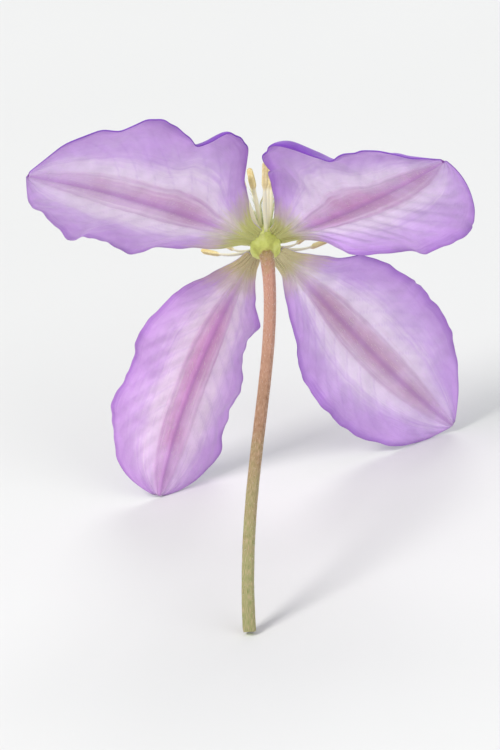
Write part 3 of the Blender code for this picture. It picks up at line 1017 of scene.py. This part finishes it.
def style_mesh(name, number, ring, k):
    """A style with the silky hairs that stand along its lower part."""
    path, across = style_path(number, ring, k)
    bm = tube(path, style_section, STYLE_SIDES, across)
    rng = random.Random(100 + number)
    for _ in range(STYLE_HAIRS):
        i = rng.randrange(2, 22)
        tangent = (path[i + 1] - path[i]).normalized()
        side = tangent.orthogonal().normalized()
        angle = rng.uniform(0, 2 * math.pi)
        out = math.cos(angle) * side + math.sin(angle) * tangent.cross(side)
        way = (out * 0.45 + tangent).normalized()
        add_hair(bm, path[i] + out * 0.12 * MM, way, rng.uniform(0.9, 1.7) * MM, 0.018 * MM, out * -0.05)
    return mesh_from(bm, name)


# What makes a tepal's paint its own: the noises' seed, the band's two colours, how strong the band is,
# the claw's colour and a tone over the whole back, which is partly the tepal's own tint and partly painted
# shade.
TEPAL_PAINTS = {
    "tepal_upper_left": (1.3, ROSE, SOFT_ROSE, 0.75, CLAW_GREEN, (1.0, 1.0, 1.0, 1.0)),
    "tepal_upper_right": (5.1, ROSE, DEEP_ROSE, 1.0, CLAW_GREEN, (0.97, 0.95, 1.0, 1.0)),
    "tepal_lower_right": (9.4, DUSTY_ROSE, DEEP_DUSTY_ROSE, 0.95, CLAW_BEIGE, (1.0, 1.0, 1.0, 1.0)),
    "tepal_lower_left": (14.2, PINK_ROSE, DEEP_PINK_ROSE, 0.95, CLAW_BEIGE, (0.97, 0.91, 0.93, 1.0)),
}


def build_flower(pose):
    fibre = down_fibre()
    for name, spec in TEPALS.items():
        paint = TEPAL_PAINTS[name]
        faces = (tepal_front(name + "_front", paint[0]), tepal_back(name + "_back", *paint))
        add_piece(name + "_fine", tepal_mesh(name + "_fine", spec), faces, pose, [name])
        add_piece(name + "_down", tepal_down(name + "_down", spec), [fibre], pose, [])
    core = receptacle_mesh("receptacle_fine")
    add_piece("receptacle_fine", core, [receptacle_skin()], pose, ["receptacle"])
    add_piece("stalk_fine", stalk_mesh(), [stalk_skin(), stalk_cut()], pose, ["flower_stalk"])
    add_piece("stalk_down", stalk_down(), [fibre], pose, [])
    skin = stamen_skin()
    number = 0
    for level in range(len(WHORLS)):
        for k in range(STAMENS_PER_WHORL):
            number += 1
            path, across = stamen_path(number, level, k)
            node = f"stamen_{number:02d}"
            mesh = mesh_from(tube(path, stamen_section(number), STAMEN_SIDES, across), node + "_fine")
            add_piece(node + "_fine", mesh, [skin], pose, [node])
    skin = style_skin()
    number = 0
    for ring, (count, *_) in enumerate(STYLE_RINGS):
        for k in range(count):
            number += 1
            node = f"style_{number:02d}"
            mesh = style_mesh(node + "_fine", number, ring, k)
            add_piece(node + "_fine", mesh, [skin], pose, [node])


# ---------------------------------------------------------------- floor, light and camera

CAMERA_DISTANCE = 2.5
CAMERA_ELEVATION = 24.57
CAMERA_AZIMUTH = 3.36
CAMERA_ROLL = -6.92
SENSOR = 36.0
VIEW_HEIGHT = 0.126
FLOOR_RADIUS = 6.0
SKY_COLOUR = (0.93, 0.96, 1.0, 1.0)
SKY_STRENGTH = 0.47
AIM = (0, 0, 0.03)
# Name, place, size, power and colour of each light; all of them point at AIM.
LIGHTS = (
    ("key", (-0.75, -0.50, 1.00), 0.45, 11.8, (1.0, 0.985, 0.96)),
    ("fill", (0.75, -0.70, 0.50), 0.9, 4.4, (0.95, 0.97, 1.0)),
    ("rim", (0.15, 0.95, 0.80), 0.7, 5.0, (1.0, 1.0, 1.0)),
)


def add_floor():
    mesh = bpy.data.meshes.new("floor")
    bm = bmesh.new()
    bmesh.ops.create_circle(bm, cap_ends=True, segments=96, radius=FLOOR_RADIUS)
    bm.to_mesh(mesh)
    bm.free()
    mesh.materials.append(floor_finish())
    floor = bpy.data.objects.new("floor", mesh)
    bpy.context.scene.collection.objects.link(floor)


def add_light(name, place, size, power, colour):
    data = bpy.data.lights.new(name, "AREA")
    data.size = size
    data.energy = power
    data.color = colour
    lamp = bpy.data.objects.new(name, data)
    bpy.context.scene.collection.objects.link(lamp)
    lamp.location = place
    lamp.rotation_euler = (Vector(AIM) - Vector(place)).to_track_quat("-Z", "Y").to_euler()


def add_world():
    world = bpy.data.worlds.new("studio")
    world.use_nodes = True
    background = world.node_tree.nodes["Background"]
    background.inputs["Color"].default_value = SKY_COLOUR
    background.inputs["Strength"].default_value = SKY_STRENGTH
    bpy.context.scene.world = world


def add_camera(nodes):
    """A long lens that looks at the backs of the tepals from above the stalk."""
    azimuth, elevation = math.radians(CAMERA_AZIMUTH), math.radians(CAMERA_ELEVATION)
    away = Vector((
        math.sin(azimuth) * math.cos(elevation),
        -math.cos(azimuth) * math.cos(elevation),
        math.sin(elevation),
    ))
    facing = away.to_track_quat("Z", "Y") @ Euler((0, 0, math.radians(CAMERA_ROLL))).to_quaternion()
    right, up = facing @ Vector((1, 0, 0)), facing @ Vector((0, 1, 0))
    points = [vert.co for node in nodes.values() for vert in node.data.vertices]
    aim = Vector((0, 0, 0))
    for way in (right, up, away):
        spans = [point.dot(way) for point in points]
        aim += way * (min(spans) + max(spans)) / 2
    data = bpy.data.cameras.new("camera")
    data.sensor_width = SENSOR
    data.lens = SENSOR * CAMERA_DISTANCE / VIEW_HEIGHT
    data.clip_start = 0.05
    data.clip_end = 50
    camera = bpy.data.objects.new("camera", data)
    bpy.context.scene.collection.objects.link(camera)
    camera.location = aim + away * CAMERA_DISTANCE
    camera.rotation_mode = "QUATERNION"
    camera.rotation_quaternion = facing
    bpy.context.scene.camera = camera


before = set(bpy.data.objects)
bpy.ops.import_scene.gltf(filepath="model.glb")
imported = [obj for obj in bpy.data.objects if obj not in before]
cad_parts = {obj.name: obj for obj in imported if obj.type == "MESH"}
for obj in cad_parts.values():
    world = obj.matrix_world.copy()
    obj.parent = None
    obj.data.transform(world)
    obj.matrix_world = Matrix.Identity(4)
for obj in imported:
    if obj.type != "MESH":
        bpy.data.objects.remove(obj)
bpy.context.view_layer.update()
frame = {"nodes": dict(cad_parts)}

build_flower(flower_pose())
add_floor()
for light in LIGHTS:
    add_light(*light)
add_world()
add_camera(frame["nodes"])
bpy.context.scene.view_settings.view_transform = "Standard"
